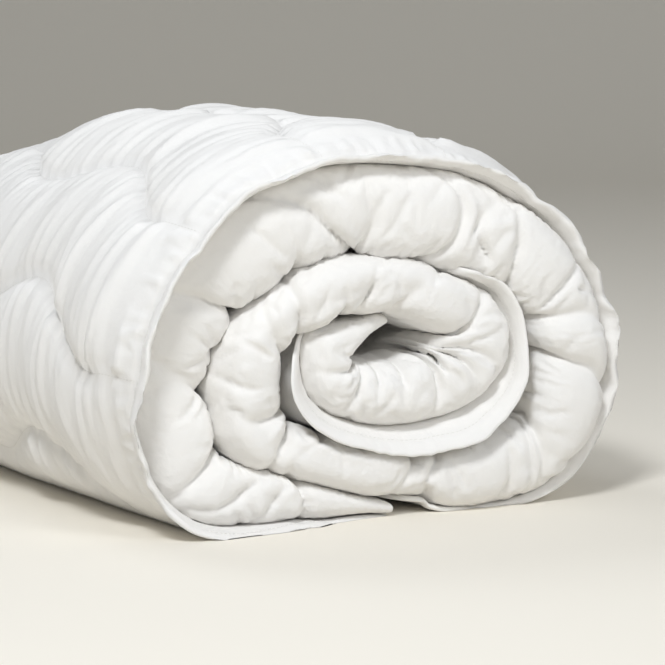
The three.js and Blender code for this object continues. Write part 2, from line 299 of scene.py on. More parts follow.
def hem_room(at):
    """How much of the wrap's thickness is left for the outer layer, over the two that are folded."""
    return at["thick"] - at["fold"] - at["gap"]


def hem_over(at, y):
    stitch = at["hem"] + HEM_WIDTH
    room = hem_room(at)
    full = np.sqrt(share(stitch, stitch + SHOULDER, y))
    return hem_under(at, y) + mix(np.minimum(HEM_THICKNESS / 2 + HEM_PINCHED / 2, room), room, full)


def piped(side):
    """The hem's own face: a band that is padded a little and pinched along its stitching."""
    def height(at, y):
        part = share(at["hem"], at["hem"] + HEM_WIDTH, y)
        thickness = np.minimum(HEM_THICKNESS, hem_room(at))
        rounded = thickness * (4 * part * (1 - part)) ** BAND_ROUNDNESS
        padded = np.maximum(HEM_PINCHED * smooth(PINCHED_FROM, 1, part), rounded)
        return hem_under(at, y) + thickness / 2 + side * padded / 2
    return height


def outer_gap(at, y):
    """Where the outer layer and the two folded ones part."""
    inside = smooth(NOSE_DEPTH, LAYERS_PARALLEL, y)
    far = smooth(STRIP_WIDTH - LAYERS_PARALLEL, STRIP_WIDTH - NOSE_DEPTH, y)
    near = at["fold"] + at["gap"] / 2
    return mix(mix(near, at["thick"] * 2 / 3, inside), at["thick"] * (1 - FAR_FOLD_SHARE / 2), far)


def inner_gap(at, y):
    """Where the two folded layers part."""
    inside = smooth(NOSE_DEPTH, LAYERS_PARALLEL, y)
    far = smooth(STRIP_WIDTH - LAYERS_PARALLEL, STRIP_WIDTH - NOSE_DEPTH, y)
    deep = at["thick"] * (1 - FAR_FOLD_SHARE) - at["gap"] / 2
    return mix(mix(at["fold"] / 2, at["thick"] / 3, inside), deep, far)


# The quilting: parallel wavy seams that run along the roll, one every 13 cm round its outside, sewn through
# both panels and the wool. The wave moves the mesh's rows with it, so every seam lies on a row.
SEAM_SPACING = 97.5
SEAM_START = 15.5
ROWS_PER_SEAM = 42
ROWS_SKIPPED = 3
WAVE_LENGTH = 235
WAVE_HEIGHT = 19
WAVE_CREST = 55
WAVE_FADE = 120
STRAIGHT_UNTIL = 45
SEAM_DRIFT = -0.1
COVERED_UNTIL = 700
COVERED_FADE = 200
SHOWN_BEFORE = 20
LIFTED = (15, 40)


def waved(u, y, follows):
    fade = smooth(0, WAVE_FADE, LENGTH - u) * smooth(COVERED_UNTIL, COVERED_UNTIL + COVERED_FADE, u)
    depth = np.maximum(y, STRAIGHT_UNTIL)
    wave = WAVE_HEIGHT * np.cos(2 * math.pi * (depth - WAVE_CREST) / WAVE_LENGTH)
    return u + follows * fade * (wave + SEAM_DRIFT * (depth - STRAIGHT_UNTIL))


row_step = SEAM_SPACING / ROWS_PER_SEAM
first_row = SEAM_START % row_step
row_u = np.concatenate([[0], np.arange(first_row, LENGTH - row_step / 2, row_step), [LENGTH]])
seam_row = 1 + round((SEAM_START - first_row) / row_step)
shown_from = int(np.searchsorted(row_u, COVERED_UNTIL - SHOWN_BEFORE))
shown_from += (seam_row - shown_from) % ROWS_SKIPPED
row_at = winding_at(row_u)
lifted = smooth(*LIFTED, row_at["z"] + row_at["thick"] * row_at["out_z"])

# The strip's section: columns of points in order round its three layers. They run along the outer face from
# the far fold to the hem, round the hem, into the outer gap and back, round the fold that shows, along the
# inner face, round the far hem, into the inner gap and back, and round the far fold.
COLUMN = 2.7
HEM_FOLLOWS = 0.8
ALL_FOLLOWS_FROM = 90
NEAR_STITCHING = (0.08, 0.17, 0.26, 0.35, 0.44, 0.53, 0.62, 0.7, 0.78, 0.85, 0.91, 0.96)
FINE_STITCHING = 0.3
ACROSS_HEM = (0, 0.25, 0.5, 0.75, 0.92)
UNDER_HEM = (0.2, 0.5, 0.8)
FINE_UNDER_HEM = 0.4
UNDER_DEPTHS = (35, 48, 62, 140, 300, 460, 605)
INTO_GAP = 4
FOLD_OUTER_SIDE = (72, 64, 56, 49, 42)
FOLD_INNER_SIDE = (41, 48, 56, 65, 75, 86)
INSIDE_DEPTHS = (105, 140, 300, 460, 605)
NOSE_COLUMNS = 30
FAR_NOSE_COLUMNS = 24
NOSE_SQUARE = 2 / 2.5
FAR_HEM_PROFILE = ((617, 0.02), (624, 0.1), (627, 0.3), (628, 0.5), (627, 0.7), (624, 0.9))
INNER_GAP_SIDE = 64
INNER_GAP_END = 52

columns = []
hem = row_at["hem"]
nose = row_at["nose"]
stitch_line = hem + HEM_WIDTH
root = root_of(row_at)


def add_column(y, height, follows=0, part="", tie=None, dense_only=False, fine=False):
    """One more column. The tie names the columns that lie across a layer from it, and a fine one has every
    row. One that is for the dense part only is left out where the next wrap covers the outer face."""
    y = np.broadcast_to(np.asarray(y, float), row_u.shape)
    u = waved(row_u, y, follows)
    columns.append({"u": u, "y": y, "h": height(winding_at(u), y), "part": part, "tie": tie,
                    "dense_only": dense_only, "fine": fine})


def above(gap):
    return lambda at, y: gap(at, y) + at["gap"] / 2


def below(gap):
    return lambda at, y: gap(at, y) - at["gap"] / 2


def inner_side(at, y):
    return 0 * y


def behind_root(y):
    """A depth behind the hem, which moves back with it."""
    return y + (root - DEPTHS[0]) * share(DEPTHS[1], DEPTHS[0], y)


def behind_nose(y):
    """A depth on the fold's straight sides, which begin where its round nose ends."""
    return y + np.maximum(0, nose + NOSE_DEPTH + 1 - DEPTHS[0]) * share(DEPTHS[1], DEPTHS[0], y)


def round_nose(count, side):
    """How far back and how high each point round a fold's nose lies, starting at one side of it."""
    for angle in np.linspace(side * math.pi / 2, -side * math.pi / 2, count)[1:-1]:
        back = 1 - abs(math.cos(angle)) ** NOSE_SQUARE
        yield back, math.copysign(abs(math.sin(angle)) ** NOSE_SQUARE, angle)


def fold_height(rise):
    return lambda at, y: at["fold"] * (1 + rise) / 2


def far_fold_height(rise):
    return lambda at, y: at["thick"] * (1 - FAR_FOLD_SHARE * (1 - rise) / 2)


def far_hem_height(part):
    return lambda at, y: part * np.minimum(HEM_THICKNESS, below(inner_gap)(at, STRIP_WIDTH + 0 * y))


def tie_at(name, y):
    return f"{name}{y:.0f}" if y in DEPTHS else None


outer_depths = [DEPTHS[-1]]
for near, far in zip(DEPTHS[::-1][1:], DEPTHS[::-1][:-1]):
    count = round((far - near) / COLUMN)
    outer_depths += [far + (near - far) * (j + 1) / count for j in range(count)]
for y in outer_depths:
    behind_hem = smooth(DEPTHS[0], ALL_FOLLOWS_FROM, y)
    follows = smooth(0, WAVE_FADE, STRIP_WIDTH - y) * mix(HEM_FOLLOWS, 1, behind_hem)
    add_column(behind_root(y), hem_over, follows, "outer", tie_at("outer", y), y not in DEPTHS)
for part in NEAR_STITCHING:
    depth = mix(root, stitch_line, part)
    add_column(depth, hem_over, HEM_FOLLOWS, "outer", dense_only=True, fine=part > FINE_STITCHING)
for part in ACROSS_HEM:
    add_column(mix(stitch_line, hem, part), piped(1), HEM_FOLLOWS, "hem", fine=True)
add_column(hem, piped(1), HEM_FOLLOWS, "hem", fine=True)
for part in ACROSS_HEM[::-1]:
    add_column(mix(stitch_line, hem, part), piped(-1), HEM_FOLLOWS, "hem", fine=True)
for part in UNDER_HEM:
    follows = HEM_FOLLOWS * (1 - part)
    add_column(mix(stitch_line, root, part), hem_under, follows, "under", fine=part < FINE_UNDER_HEM)
for y in UNDER_DEPTHS:
    add_column(behind_root(y), above(outer_gap), 0, "under", tie_at("outer", y))
add_column(STRIP_WIDTH - NOSE_DEPTH + INTO_GAP, outer_gap)
for y in DEPTHS[:0:-1]:
    add_column(y, below(outer_gap), 0, "middle", tie_at("middle", y))
for y in FOLD_OUTER_SIDE:
    add_column(behind_nose(y), below(outer_gap), 0, "fold", fine=True)
add_column(behind_nose(DEPTHS[0]), below(outer_gap), 0, "fold", tie_at("middle", DEPTHS[0]), fine=True)
for back, rise in round_nose(NOSE_COLUMNS, 1):
    add_column(nose + NOSE_DEPTH * back, fold_height(rise), 0, "fold", fine=True)
add_column(behind_nose(DEPTHS[0]), inner_side, 0, "fold", tie_at("inner", DEPTHS[0]), fine=True)
for y in FOLD_INNER_SIDE:
    add_column(behind_nose(y), inner_side, 0, "fold", fine=True)
for y in INSIDE_DEPTHS:
    add_column(behind_nose(y), inner_side, 0, "inside", tie_at("inner", y))
for y, part in FAR_HEM_PROFILE:
    add_column(y, far_hem_height(part), 0, "far hem")
for y in DEPTHS[:0:-1]:
    add_column(y, below(inner_gap), 0, "deep", tie_at("inner", y))
add_column(nose + INNER_GAP_SIDE, below(inner_gap), 0, "deep")
add_column(nose + INNER_GAP_END, inner_gap, 0, "deep")
add_column(nose + INNER_GAP_SIDE, above(inner_gap), 0, "deep")
for y in DEPTHS[1:]:
    add_column(y, above(inner_gap), 0, "deep", tie_at("middle", y))
for back, rise in round_nose(FAR_NOSE_COLUMNS, -1):
    add_column(STRIP_WIDTH - NOSE_DEPTH * back, far_fold_height(rise), 0, "far fold")

U = np.stack([c["u"] for c in columns], 1)
Y = np.stack([c["y"] for c in columns], 1)
H = np.stack([c["h"] for c in columns], 1)
points = placed(U, Y, H)
parts = np.array([c["part"] for c in columns])
dense_only = np.array([c["dense_only"] for c in columns])
fine = np.array([c["fine"] for c in columns])
hem_columns = np.flatnonzero(parts == "hem")
fold_columns = np.flatnonzero(parts == "fold")
far_columns = np.flatnonzero(parts == "far fold")

# How the cotton settles on its filling: the cloth keeps its lengths, resists bending and shearing a little,
# and is cut fuller than the shape under it, so it wrinkles. The seams and the edges of a face hold still.
LENGTHS_KEPT = 0.9
SHEAR_KEPT = 0.25
SPEED_KEPT = 0.85
SLIDE_KEPT = 0.98
FIRST_UNEVENNESS = 0.25
TINY = 1e-9
SHORTEST_DIAGONAL = 0.01


def evened(grid, reach):
    """The grid's points averaged with their neighbours along the winding."""
    padded = np.concatenate([grid[:1]] * reach + [grid] + [grid[-1:]] * reach)
    total = np.cumsum(np.concatenate([0 * grid[:1], padded]), axis=0)
    return (total[2 * reach + 1:] - total[:-2 * reach - 1]) / (2 * reach + 1)


def outward(grid, reach=0):
    """The way out of the duvet at each point of a grid of rows and columns."""
    steady = evened(grid, reach) if reach else grid
    along = np.gradient(steady, axis=0)
    across = np.gradient(steady, axis=1)
    normal = np.cross(along, across)
    return normal / np.maximum(np.linalg.norm(normal, axis=2, keepdims=True), TINY)


def pull(x, w, a, b, rest, stiff):
    """Moves the points at a and b towards their rest distance, by how free each is."""
    d = x[b] - x[a]
    length = np.sqrt(np.einsum("ijk,ijk->ij", d, d)) + TINY
    wa, wb = w[a], w[b]
    amount = (stiff * (length - rest) / (length * (wa + wb + TINY)))[..., None] * d
    x[a] += wa[..., None] * amount
    x[b] -= wb[..., None] * amount


def settle(base, fuller_along, fuller_across, hold, free, low, high, steps, seed, bend):
    """Lets a face of the cover settle on the base. hold is how firmly the filling keeps it there, and low and
    high are how far a point may sink or rise."""
    out = outward(base)
    eu = np.diff(base, axis=0)
    es = np.diff(base, axis=1)
    rest_u = np.linalg.norm(eu, axis=2) * (fuller_along[1:] + fuller_along[:-1]) / 2
    rest_s = np.linalg.norm(es, axis=2) * (fuller_across[:, 1:] + fuller_across[:, :-1]) / 2
    mu, ms = rest_u[:, :-1], rest_s[:-1]
    cosine = np.einsum("ijk,ijk->ij", eu[:, :-1], es[:-1])
    cosine /= np.linalg.norm(eu[:, :-1], axis=2) * np.linalg.norm(es[:-1], axis=2) + TINY
    down = np.sqrt(np.maximum(mu**2 + ms**2 + 2 * mu * ms * cosine, SHORTEST_DIAGONAL))
    up = np.sqrt(np.maximum(mu**2 + ms**2 - 2 * mu * ms * cosine, SHORTEST_DIAGONAL))
    far_u = np.linalg.norm(base[2:] - base[:-2], axis=2) * fuller_along[1:-1]
    far_s = np.linalg.norm(base[:, 2:] - base[:, :-2], axis=2) * fuller_across[:, 1:-1]
    random = np.random.default_rng(seed)
    x = base + out * (free * random.normal(0, FIRST_UNEVENNESS, free.shape))[..., None]
    before = x.copy()
    everything = slice(None)
    for step in range(steps):
        speed = SPEED_KEPT * (x - before)
        before = x.copy()
        x = x + speed * free[..., None]
        for start in (0, 1):
            a, b = slice(start, -1, 2), slice(start + 1, None, 2)
            pull(x, free, (a, everything), (b, everything), rest_u[start::2], LENGTHS_KEPT)
            pull(x, free, (everything, a), (everything, b), rest_s[:, start::2], LENGTHS_KEPT)
        for start in (0, 1):
            a, b = slice(start, -1, 2), slice(start + 1, None, 2)
            left, right = slice(None, -1), slice(1, None)
            pull(x, free, (a, left), (b, right), down[start::2], SHEAR_KEPT)
            pull(x, free, (a, right), (b, left), up[start::2], SHEAR_KEPT)
        for start in range(4):
            a, b = slice(start, -2, 4), slice(start + 2, None, 4)
            pull(x, free, (a, everything), (b, everything), far_u[start::4], bend)
            pull(x, free, (everything, a), (everything, b), far_s[:, start::4], bend)
        moved = x - base
        proud = np.einsum("ijk,ijk->ij", moved, out)
        sideways = moved - proud[..., None] * out
        proud = np.clip(proud - hold * proud, low, high)
        fixed = base + out * proud[..., None] + sideways * SLIDE_KEPT
        x = mix(before, fixed, free[..., None])
    return x


# The outer face: the filling crowns it between two seams, and each seam draws it in to a sharp valley.
# Wrinkles start at the seams and at the hem, where the cotton is gathered, and run on from there. They are
# uneven in height, width and reach, and lean a little. The cotton is cut a little fuller than all that.
CROWN = 7.5
VALLEY = 3.5
CROWN_ROUNDNESS = 0.7
NEAR_FADE = (2, 75)
FAR_FADE = 60
LOOSE_END_FADE = 60
SHOWN_FADE = 60
GROUND_FADE = (8, 40)
WRINKLE_SEED = 4
WRINKLE_SPACING = 9
WRINKLE_SHIFT = 5
WRINKLE_REACH = (14, 80)
LONG_WRINKLES = 1.4
WRINKLE_HEIGHTS = (0.9, 4.2)
WRINKLE_WIDTHS = (2.6, 5.6)
WRINKLE_SPREAD = 0.05
WRINKLE_LEAN = 0.12
WRINKLE_START = 6
WRINKLES_STOP = 0.9
WRINKLES_FROM_HEM = (1, 22)
HEM_GATHER_SPACING = 8
HEM_GATHER_SHIFT = 4
HEM_GATHER_HEIGHTS = (0.5, 3.2)
HEM_GATHER_REACH = (8, 30)
HEM_GATHER_WIDTH = 2.4
HEM_GATHER_LEAN = 0.25
HEM_GATHER_START = 3
HEM_GATHER_WINDOW = 30
PUCKER_SPACING = 4.2
PUCKER_HEIGHT = 1.5
PUCKER_REACH = 14
PUCKER_START = 4
HEM_PUCKERED = 0.55
SEAM_HOLDS = 0.45
FULLER_ALONG = 1.005
FULLER = 0.025
FULLER_AT_SEAM = 0.03
FULLER_REACH = 22
FULLER_FROM_HEM = (10, 60)
COTTON_HELD = 0.03
COTTON_PROUD = 5
COTTON_BEND = 0.06
GROUND_FREE = (-1, 6)
SETTLE_STEPS = 220

outer_columns = np.flatnonzero((parts == "outer") | (np.arange(len(parts)) == hem_columns[0]))
outer_rows = np.arange(shown_from, len(row_u))
grid = points[np.ix_(outer_rows, outer_columns)]
y = Y[np.ix_(outer_rows, outer_columns)]
u = row_u[outer_rows][:, None] + 0 * y
seam_place = (row_u[outer_rows] - SEAM_START) / SEAM_SPACING
off_seam = SEAM_SPACING * np.abs(seam_place - np.round(seam_place))
on_seam = off_seam < row_step * SEAM_HOLDS
off_hem = y - hem[outer_rows][:, None] - HEM_WIDTH
ends = smooth(*NEAR_FADE, off_hem) * smooth(0, FAR_FADE, STRIP_WIDTH - y)
loose = smooth(0, LOOSE_END_FADE, LENGTH - u) * smooth(COVERED_UNTIL, COVERED_UNTIL + SHOWN_FADE, u)
low_down = smooth(*GROUND_FADE, grid[..., 2])
between = np.abs(np.sin(math.pi * seam_place))[:, None]
shape = ends * ((CROWN + VALLEY) * between**CROWN_ROUNDNESS - VALLEY)

wrinkles = np.random.default_rng(WRINKLE_SEED)
ridges = np.zeros(y.shape)
for seam in np.arange(np.ceil(seam_place[0]), np.ceil(seam_place[-1])):
    for side in (-1, 1):
        away = side * SEAM_SPACING * (seam_place - seam)
        near = np.flatnonzero((away >= 0) & (away < WRINKLES_STOP * SEAM_SPACING))
        from_seam = away[near][:, None]
        for place in np.arange(0, STRIP_WIDTH, WRINKLE_SPACING):
            middle = place + wrinkles.uniform(-WRINKLE_SHIFT, WRINKLE_SHIFT)
            reach = mix(*WRINKLE_REACH, wrinkles.random() ** LONG_WRINKLES)
            height = wrinkles.uniform(*WRINKLE_HEIGHTS)
            width = wrinkles.uniform(*WRINKLE_WIDTHS)
            lean = wrinkles.normal(0, WRINKLE_LEAN)
            across = (y[near] - middle - lean * from_seam) / (width + WRINKLE_SPREAD * from_seam)
            fade = smooth(0, WRINKLE_START, from_seam) * np.exp(-(from_seam / reach) ** 2)
            ridges[near] += height * fade * np.exp(-across ** 2)
shape += (ridges - ridges.mean()) * smooth(*WRINKLES_FROM_HEM, off_hem)

for place in np.arange(COVERED_UNTIL, LENGTH, HEM_GATHER_SPACING):
    middle = place + wrinkles.uniform(-HEM_GATHER_SHIFT, HEM_GATHER_SHIFT)
    height = wrinkles.uniform(*HEM_GATHER_HEIGHTS)
    reach = wrinkles.uniform(*HEM_GATHER_REACH)
    lean = wrinkles.normal(0, HEM_GATHER_LEAN)
    near = np.flatnonzero(np.abs(row_u[outer_rows] - middle) < HEM_GATHER_WINDOW)
    from_hem = off_hem[near]
    width = HEM_GATHER_WIDTH + WRINKLE_SPREAD * np.maximum(0, from_hem)
    distance = (u[near] - middle - lean * from_hem) / width
    shape[near] += height * smooth(0, HEM_GATHER_START, from_hem) * np.exp(-from_hem / reach - distance ** 2)

pucker_places = np.arange(0, LENGTH + PUCKER_SPACING, PUCKER_SPACING)
puckers = wrinkles.uniform(-PUCKER_HEIGHT, PUCKER_HEIGHT, len(pucker_places))
puckered = np.interp(row_u, pucker_places, puckers)
pucker_fade = np.exp(-np.maximum(0, off_hem) / PUCKER_REACH)
shape += puckered[outer_rows][:, None] * pucker_fade * smooth(0, PUCKER_START, off_hem)
shaped = grid + outward(grid) * (shape * loose * low_down)[..., None]

free = np.ones(y.shape)
free[:, [0, -1]] = 0
free[[0, -1]] = 0
free[on_seam] = 0
free *= smooth(*GROUND_FREE, grid[..., 2])
steps = SETTLE_STEPS
near_seam = np.exp(-(off_seam / FULLER_REACH) ** 2)[:, None]
fuller = 1 + (FULLER + FULLER_AT_SEAM * near_seam) * smooth(*FULLER_FROM_HEM, off_hem) * low_down
held = np.full(y.shape, COTTON_HELD)
settled = settle(shaped, np.full(y.shape, FULLER_ALONG), fuller, held, free, -COTTON_PROUD, COTTON_PROUD,
                 steps, seed=5, bend=COTTON_BEND)
settled[..., 2] = np.maximum(settled[..., 2], 0)
points[np.ix_(outer_rows, outer_columns)] = settled

# The hem is puckered along its stitching too, where it lies free of the ground.
hem_out = np.stack([row_at["out_x"], 0 * row_u, row_at["out_z"]], 1)
for k, column in enumerate(hem_columns):
    amount = puckered * HEM_PUCKERED * np.sin(math.pi * (k + 1) / (len(hem_columns) + 1)) * lifted
    points[:, column] += hem_out * amount[:, None]
    points[:, column, 2] = np.maximum(points[:, column, 2], 0)

# The folds that show at the open end: cover and wool folded over together, and softly filled. Each is wound
# tighter on its inner side, so the cotton there is too long for its place and buckles between its seams.
FOLD_ACROSS = 95
PLUMP = 4.5

# The main creases. Each runs from a first to a second place: along the winding, and across the fold from 0 at
# its outer side to 1 at its inner side. The bow is how far its middle swings sideways.
CREASE_COLUMNS = ["along", "across", "to_along", "to_across", "bow", "depth", "width"]
CREASES = np.array([
    [1262, 0.10, 1150, 0.95, 0, 8, 6],
    [1125, 0.15, 1122, 0.85, -38, 8, 6],
    [1040, 0.20, 1072, 0.50, 6, 8, 8],
    [1072, 0.50, 1046, 0.62, 0, 7, 6],
    [1042, 0.30, 1008, 0.78, 0, 7, 8],
    [976, 0.20, 968, 0.66, 4, 6, 8],
    [924, 0.15, 962, 0.80, 6, 11, 9],
    [878, 0.10, 922, 0.90, 4, 13, 8],
    [1345, 0.15, 1312, 0.98, -4, 12, 7],
    [1330, 0.60, 1302, 0.90, 0, 8, 7],
    [1386, 0.42, 1420, 0.90, 5, 11, 9],
    [1372, 0.62, 1362, 0.78, 0, 5, 8],
    [1484, 0.20, 1462, 0.95, 4, 12, 7],
    [1498, 0.34, 1532, 0.62, 0, 6, 8],
    [1580, 0.10, 1566, 0.85, 0, 8, 6],
    [1538, 0.36, 1556, 0.62, 0, 5, 8],
    [1154, 0.42, 1168, 0.80, 6, 10, 8],
    [1240, 0.55, 1250, 0.88, -4, 9, 7],
    [1210, 0.20, 1190, 0.42, 0, 3, 9],
    [584, 0.10, 572, 0.95, -4, 13, 7],
    [536, 0.32, 552, 0.72, 4, 10, 8],
    [602, 0.55, 618, 0.85, 0, 6, 8],
    [676, 0.15, 702, 0.90, 4, 8, 6],
    [706, 0.38, 724, 0.74, 0, 6, 7],
    [724, 0.12, 708, 0.40, 0, 5, 7],
    [648, 0.55, 640, 0.90, 0, 5, 8],
    [792, 0.20, 836, 0.88, -4, 8, 6],
    [804, 0.25, 852, 0.92, -5, 13, 8],
    [772, 0.15, 790, 0.60, 0, 5, 8],
    [424, 0.05, 450, 0.92, 4, 12, 7],
    [452, 0.18, 474, 0.66, 5, 10, 8],
    [484, 0.26, 486, 0.50, 0, 5, 7],
    [508, 0.10, 518, 0.45, 0, 5, 8],
    [366, 0.30, 384, 0.68, 0, 7, 8],
    [398, 0.45, 404, 0.85, 0, 6, 7],
    [298, 0.15, 346, 0.68, 8, 9, 7],
    [272, 0.20, 268, 0.70, 0, 6, 8],
    [168, 0.30, 182, 0.85, 4, 13, 7],
    [186, 0.50, 202, 0.95, 0, 12, 6],
    [206, 0.36, 232, 0.90, 0, 9, 7],
    [222, 0.30, 246, 0.85, 0, 7, 8],
    [142, 0.45, 150, 0.85, 0, 6, 7],
    [98, 0.25, 104, 0.70, 0, 8, 8],
    [74, 0.30, 82, 0.75, 0, 6, 7],
    [118, 0.40, 122, 0.80, 0, 5, 7],
])
CREASES_DEEPENED = 1.7
CREASE_LINE = 0.58
CREASE_LINE_WIDTH = 2.4
CREASE_SLOPES = 0.42
CREASE_SLOPES_WIDTH = 1.25
CREASE_STARTS = 0.2
CREASE_FULL = 0.55
CREASE_ENDS = 0.6
CREASE_WINDOW = 6

# Small wrinkles branch off each crease, and short gathers stand along a fold's inner side.
FOLD_SEED = 21
SIDE_WRINKLES = 6
SIDE_WRINKLE_FROM = 0.1
SIDE_WRINKLE_LENGTHS = (14, 34)
SIDE_WRINKLE_TURNS = (0.5, 1.2)
SIDE_WRINKLE_HEIGHTS = (1.8, 4.8)
SIDE_WRINKLE_WIDTH = 3.2
SIDE_WRINKLE_OFF = 3
SMALL_BOW = 3
GATHER_SPACING = 13
GATHER_SHIFT = 6
GATHER_START = 0.98
GATHER_LENGTHS = (0.12, 0.38)
GATHER_HEIGHTS = (0.6, 3.6)
GATHER_SLANT = 9
GATHER_WIDTH = 4
LOOSE_END_PLAIN = 40

# Where the wraps are slack a fold bulges on its inner side, towards the core.
BULGES = [
    {"along": 228, "half_length": 62, "sideways": -30, "down": 2},
    {"along": 520, "half_length": 95, "sideways": 9, "down": 3},
    {"along": 395, "half_length": 40, "sideways": 2, "down": -6},
    {"along": 1350, "half_length": 70, "sideways": 6, "down": -3},
]
BULGE_ACROSS = (0.35, 0.85)
BULGE_BEHIND = 0.5

# How full the folds are, and how far their cotton is held.
FULL_FOLD = 40
THIN_FOLD = 0.1
TIGHT_STEPS = (0.25, 0.75)
TIGHT_EVENED = (0.15, 0.7)
EVENED_ROWS = 9
STEADY_ROWS = 6
SMALL_IN_CREASE = 0.5
DEEP_CREASE = 10
FILLED_BESIDE_HEM = 8
BESIDE_HEM_STARTS = (0, 0.08)
BESIDE_HEM_STOPS = (0.5, 0.3)
FOLD_STARTS = (0, 0.05)
FOLD_STOPS = (1, 0.93)
FOLD_FULLER_ALONG = 0.035
FOLD_FULLER_ACROSS = 0.03
FOLD_HELD = 0.03
CREASE_HELD = 0.3
CREASE_HELD_FROM = (2, 8)
FOLD_SINKS = 5
FOLD_RISES = 4
FOLD_BEND = 0.03


def swelling(bulge, u):
    return np.cos(np.clip((u - bulge["along"]) / bulge["half_length"], -1, 1) * math.pi / 2) ** 2


def crease_profiles(creases, u, across):
    """How deep the creases are at each point of a fold."""
    deepest = 0 * u
    for along, start, to_along, stop, bow, depth, width in creases:
        reach = abs(to_along - along) / 2 + abs(bow) + CREASE_WINDOW * width
        near = np.flatnonzero(np.abs(row_u - (along + to_along) / 2) < reach)
        side = np.array([to_along - along, (stop - start) * FOLD_ACROSS])
        to_u, to_across = u[near] - along, (across[near] - start) * FOLD_ACROSS
        part = (to_u * side[0] + to_across * side[1]) / (side @ side)
        held = np.clip(part, 0, 1)
        bent = bow * (1 - (2 * held - 1) ** 2)
        distance = np.hypot(to_u - held * side[0] - bent, to_across - held * side[1])
        fade = mix(CREASE_STARTS, 1, smooth(0, CREASE_FULL, held)) * mix(1, CREASE_ENDS, held**6)
        line = CREASE_LINE * np.exp(-distance / CREASE_LINE_WIDTH)
        slopes = CREASE_SLOPES * np.exp(-distance / (CREASE_SLOPES_WIDTH * width))
        deepest[near] = np.maximum(deepest[near], depth * fade * (line + slopes))
    return deepest


grid = points[:, fold_columns]
u = row_u[:, None] + 0 * grid[..., 0]
across = np.linspace(0, 1, len(fold_columns))[None] + 0 * u
behind_fold = fold_columns[-1] + 1
for bulge in BULGES:
    amount = swelling(bulge, u) * smooth(*BULGE_ACROSS, across)
    grid[..., 0] += bulge["sideways"] * amount
    grid[..., 2] -= bulge["down"] * amount
    amount = swelling(bulge, row_u) * BULGE_BEHIND
    points[:, behind_fold, 0] += bulge["sideways"] * amount
    points[:, behind_fold, 2] -= bulge["down"] * amount

small_creases = []
wrinkles = np.random.default_rng(FOLD_SEED)
for along, start, to_along, stop, *_ in CREASES:
    for _ in range(SIDE_WRINKLES):
        part = wrinkles.uniform(SIDE_WRINKLE_FROM, 1)
        side = 1 if wrinkles.random() < 0.5 else -1
        length = wrinkles.uniform(*SIDE_WRINKLE_LENGTHS)
        turn = wrinkles.uniform(*SIDE_WRINKLE_TURNS)
        from_along, from_across = mix(along, to_along, part), mix(start, stop, part)
        to_place = [
            from_along + side * length * math.sin(turn),
            from_across - length * math.cos(turn) / FOLD_ACROSS,
        ]
        height = wrinkles.uniform(*SIDE_WRINKLE_HEIGHTS)
        bow = wrinkles.uniform(-SMALL_BOW, SMALL_BOW)
        from_place = [from_along + side * SIDE_WRINKLE_OFF, from_across]
        small_creases.append([*from_place, *to_place, bow, height, SIDE_WRINKLE_WIDTH])
for along in np.arange(GATHER_SPACING, LENGTH - LOOSE_END_PLAIN, GATHER_SPACING):
    along += wrinkles.uniform(-GATHER_SHIFT, GATHER_SHIFT)
    stop = GATHER_START - wrinkles.uniform(*GATHER_LENGTHS)
    height = wrinkles.uniform(*GATHER_HEIGHTS)
    to_along = along + wrinkles.uniform(-GATHER_SLANT, GATHER_SLANT)
    bow = wrinkles.uniform(-SMALL_BOW, SMALL_BOW)
    small_creases.append([along, GATHER_START, to_along, stop, bow, height, GATHER_WIDTH])

main_creases = CREASES.copy()
main_creases[:, CREASE_COLUMNS.index("depth")] *= CREASES_DEEPENED
cut = crease_profiles(main_creases, u, across)
small = crease_profiles(small_creases, u, across)
room = np.clip(row_at["fold"] / FULL_FOLD, THIN_FOLD, 1)[:, None]
steps_along = np.linalg.norm(np.diff(grid, axis=0), axis=2) / row_step
steps_along = np.vstack([steps_along, steps_along[-1:]])
spread = smooth(*TIGHT_STEPS, steps_along)
beside_hem = smooth(*BESIDE_HEM_STARTS, across) * smooth(*BESIDE_HEM_STOPS, across)
filling = np.minimum(FILLED_BESIDE_HEM, row_at["thick"] - row_at["fold"] - 1)[:, None]
filled = row_at["tucked"][:, None] * filling
small_shown = small * (1 - SMALL_IN_CREASE * share(0, DEEP_CREASE, cut))
shape = room * (PLUMP * spread - cut - small_shown) + filled * beside_hem
ends = smooth(*FOLD_STARTS, across) * smooth(*FOLD_STOPS, across)
tight = 1 - smooth(*TIGHT_EVENED, steps_along)[..., None]
grid = mix(grid, evened(grid, EVENED_ROWS), tight)
shaped = grid + outward(grid, STEADY_ROWS) * (shape * ends)[..., None]
free = np.ones(u.shape)
free[:, [0, 1, -2, -1]] = 0
free[[0, -1]] = 0
held = FOLD_HELD + CREASE_HELD * share(*CREASE_HELD_FROM, cut)
settled = settle(shaped, 1 + FOLD_FULLER_ALONG * spread, 1 + FOLD_FULLER_ACROSS * spread, held, free,
                 -FOLD_SINKS * room, FOLD_RISES * room, steps, seed=9, bend=FOLD_BEND)
settled[..., 2] = np.maximum(settled[..., 2], 0)
points[:, fold_columns] = settled

# The far end: the strip's second fold, which is broader, and gathered only a little at its seams. It has
# puffs with shallow creases between them.
FAR_PLUMP = 5
FAR_THICK = 60
FAR_THIN = 0.2
FAR_CREASE_SPACING = 30
FAR_CREASE_FIRST = 30
FAR_CREASE_SHIFT = 12
FAR_CREASE_STARTS = (0.7, 0.98)
FAR_CREASE_STOPS = (0.0, 0.35)
FAR_CREASE_SLANT = 22
FAR_CREASE_DEPTHS = (5, 15)
FAR_CREASE_BOW = 6
FAR_CREASE_WIDTH = 7
FAR_STARTS = (0, 0.12)
FAR_STOPS = (1, 0.88)
FAR_CORE_PLAIN = 30

